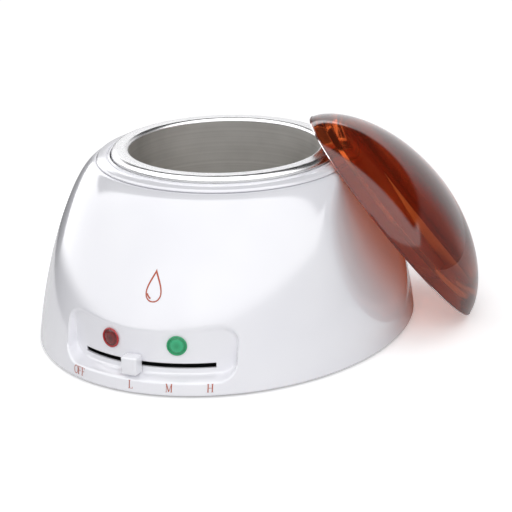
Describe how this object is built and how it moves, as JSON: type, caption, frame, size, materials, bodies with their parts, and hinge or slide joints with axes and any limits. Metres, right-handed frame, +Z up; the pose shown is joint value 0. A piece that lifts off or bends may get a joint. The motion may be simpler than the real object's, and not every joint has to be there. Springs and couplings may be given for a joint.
{
  "type": "wax warmer pot",
  "caption": "Domed electric wax warmer with a lift-out spun pot, a loose translucent lid leaning on it, and a sliding heat control under red and green indicators.",
  "frame": {"origin": "on the table, under the middle of the object's box (the leaning lid widens the box on +X, so the pot's axis stands at x = -15.5 mm, y = 0)", "axes": "+Z up, -Y the front with the control panel, +X the user's right, where the lid leans"},
  "size_m": [0.218, 0.2256, 0.1043],
  "materials": {
    "white_plastic": "glossy",
    "pot_aluminium": "spun, soft matt anodised",
    "well_aluminium": "plain drawn",
    "amber_plastic": "clear dark amber, glossy",
    "zinc_steel": "zinc plated",
    "heater_mica": "mica band, matt",
    "glass_fibre": "braided glass fibre",
    "black_phenolic": "phenolic moulding",
    "grey_plastic": "fine texture",
    "rubber": "matt",
    "red_lens": "clear red",
    "green_lens": "clear green",
    "lamp_glass": "neon lamp envelope",
    "ceramic": "unglazed steatite",
    "brass": "turned",
    "lead_white": "silicone insulation",
    "lead_brown": "silicone insulation",
    "lead_blue": "silicone insulation"
  },
  "bodies": {
    "base": {"housing_shell": "white_plastic", "collar_ring": "white_plastic", "cord_gland": "white_plastic", "well_cup": "well_aluminium", "well_screw_1": "zinc_steel", "well_screw_2": "zinc_steel", "well_screw_3": "zinc_steel", "well_screw_4": "zinc_steel", "band_screw": "zinc_steel", "band_nut": "zinc_steel", "thermostat_bracket": "zinc_steel", "thermostat_nut": "zinc_steel", "base_screw_1": "zinc_steel", "base_screw_2": "zinc_steel", "base_screw_3": "zinc_steel", "base_screw_4": "zinc_steel", "thermal_fuse": "zinc_steel", "fuse_clip": "zinc_steel", "heater_band": "heater_mica", "insulation_sleeve": "glass_fibre", "thermostat_body": "black_phenolic", "base_plate": "grey_plastic", "gland_nut": "grey_plastic", "foot_1": "rubber", "foot_2": "rubber", "foot_3": "rubber", "foot_4": "rubber", "red_lens": "red_lens", "green_lens": "green_lens", "red_lamp": "lamp_glass", "green_lamp": "lamp_glass", "red_lamp_holder": "ceramic", "green_lamp_holder": "ceramic", "terminal_block": "ceramic", "thermostat_neck": "brass", "lead_heater": "lead_white", "lead_fuse": "lead_white", "lead_feed": "lead_brown", "lead_return": "lead_blue", "lead_lamps": "lead_blue"},
    "slider": {"thermostat_shaft": "brass", "slider_lever": "zinc_steel", "lever_clip": "zinc_steel", "slider_knob": "white_plastic"},
    "pot": {"wax_pot": "pot_aluminium"},
    "lid": {"lid": "amber_plastic"}
  },
  "joints": [
    {"name": "heat_slider", "type": "hinge", "parent": "base", "child": "slider", "pos_m": [-0.01548, -0.039, 0.0139], "axis": [0, 0, 1], "range_deg": [-23.5, 30.5]},
    {"name": "pot_lift", "type": "slide", "parent": "base", "child": "pot", "axis": [0, 0, 1], "range_m": [0, 0.075]},
    {"name": "lid_off", "type": "slide", "parent": "pot", "child": "lid", "axis": [0.7111, 0.3316, 0.62], "range_m": [0, 0.1]}
  ]
}
